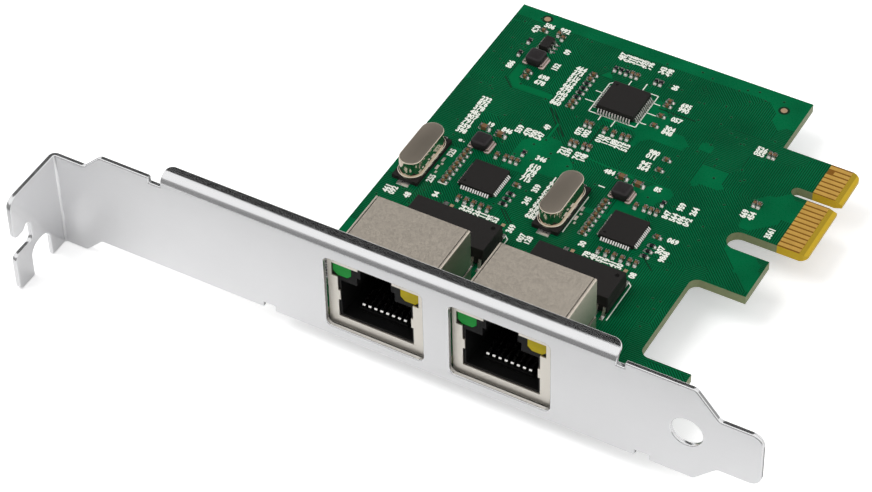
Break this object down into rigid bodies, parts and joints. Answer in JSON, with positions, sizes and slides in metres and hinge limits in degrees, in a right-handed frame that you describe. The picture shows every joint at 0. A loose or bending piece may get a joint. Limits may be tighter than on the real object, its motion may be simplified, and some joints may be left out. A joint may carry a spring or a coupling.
{
  "type": "network interface card",
  "caption": "Wired network card for an expansion slot: circuit board with an edge-connector tongue, shielded modular jacks and chips, on a folded metal bracket.",
  "frame": {"origin": "outer end of the edge-connector tongue, at the middle of the key notch and of the board's thickness", "axes": "+X into the slot, +Y along the board away from the bracket, +Z out of the component side"},
  "size_m": [0.12, 0.089, 0.0226],
  "materials": {
    "bracket_steel": "zinc plated, satin",
    "screw_steel": "zinc plated",
    "board": "green solder mask",
    "gold": "gold plated",
    "ceramic": "ceramic",
    "solder": "tinned, satin",
    "resistor_black": "glazed",
    "chip_black": "moulded, matt",
    "shield_metal": "tinned, satin",
    "housing_black": "moulded, matt",
    "yellow_lens": "clear resin",
    "green_lens": "clear resin",
    "can_nickel": "nickel plated",
    "ferrite": "ferrite"
  },
  "bodies": {
    "root": {"bracket": "bracket_steel", "bracket_screws": "screw_steel", "circuit_board": "board", "edge_contacts_top": "gold", "edge_contacts_bottom": "gold", "chip_capacitor_bodies": "ceramic", "chip_capacitor_ends": "solder", "chip_resistor_bodies": "resistor_black", "chip_resistor_ends": "solder", "switch_body": "chip_black", "switch_leads": "solder", "regulator_body": "chip_black", "regulator_leads": "solder", "jack_1_shield": "shield_metal", "jack_1_housing": "housing_black", "jack_1_contacts": "gold", "jack_1_yellow_lamp": "yellow_lens", "jack_1_green_lamp": "green_lens", "jack_1_lamp_leads": "solder", "transformer_1_body": "chip_black", "transformer_1_leads": "solder", "crystal_1_can": "can_nickel", "crystal_1_base": "housing_black", "crystal_1_terminals": "solder", "controller_1_body": "chip_black", "controller_1_joints": "solder", "jack_2_shield": "shield_metal", "jack_2_housing": "housing_black", "jack_2_contacts": "gold", "jack_2_yellow_lamp": "yellow_lens", "jack_2_green_lamp": "green_lens", "jack_2_lamp_leads": "solder", "transformer_2_body": "chip_black", "transformer_2_leads": "solder", "crystal_2_can": "can_nickel", "crystal_2_base": "housing_black", "crystal_2_terminals": "solder", "controller_2_body": "chip_black", "controller_2_joints": "solder", "choke_1_core": "ferrite", "choke_1_terminals": "solder", "choke_2_core": "ferrite", "choke_2_terminals": "solder", "choke_3_core": "ferrite", "choke_3_terminals": "solder"}
  },
  "joints": []
}
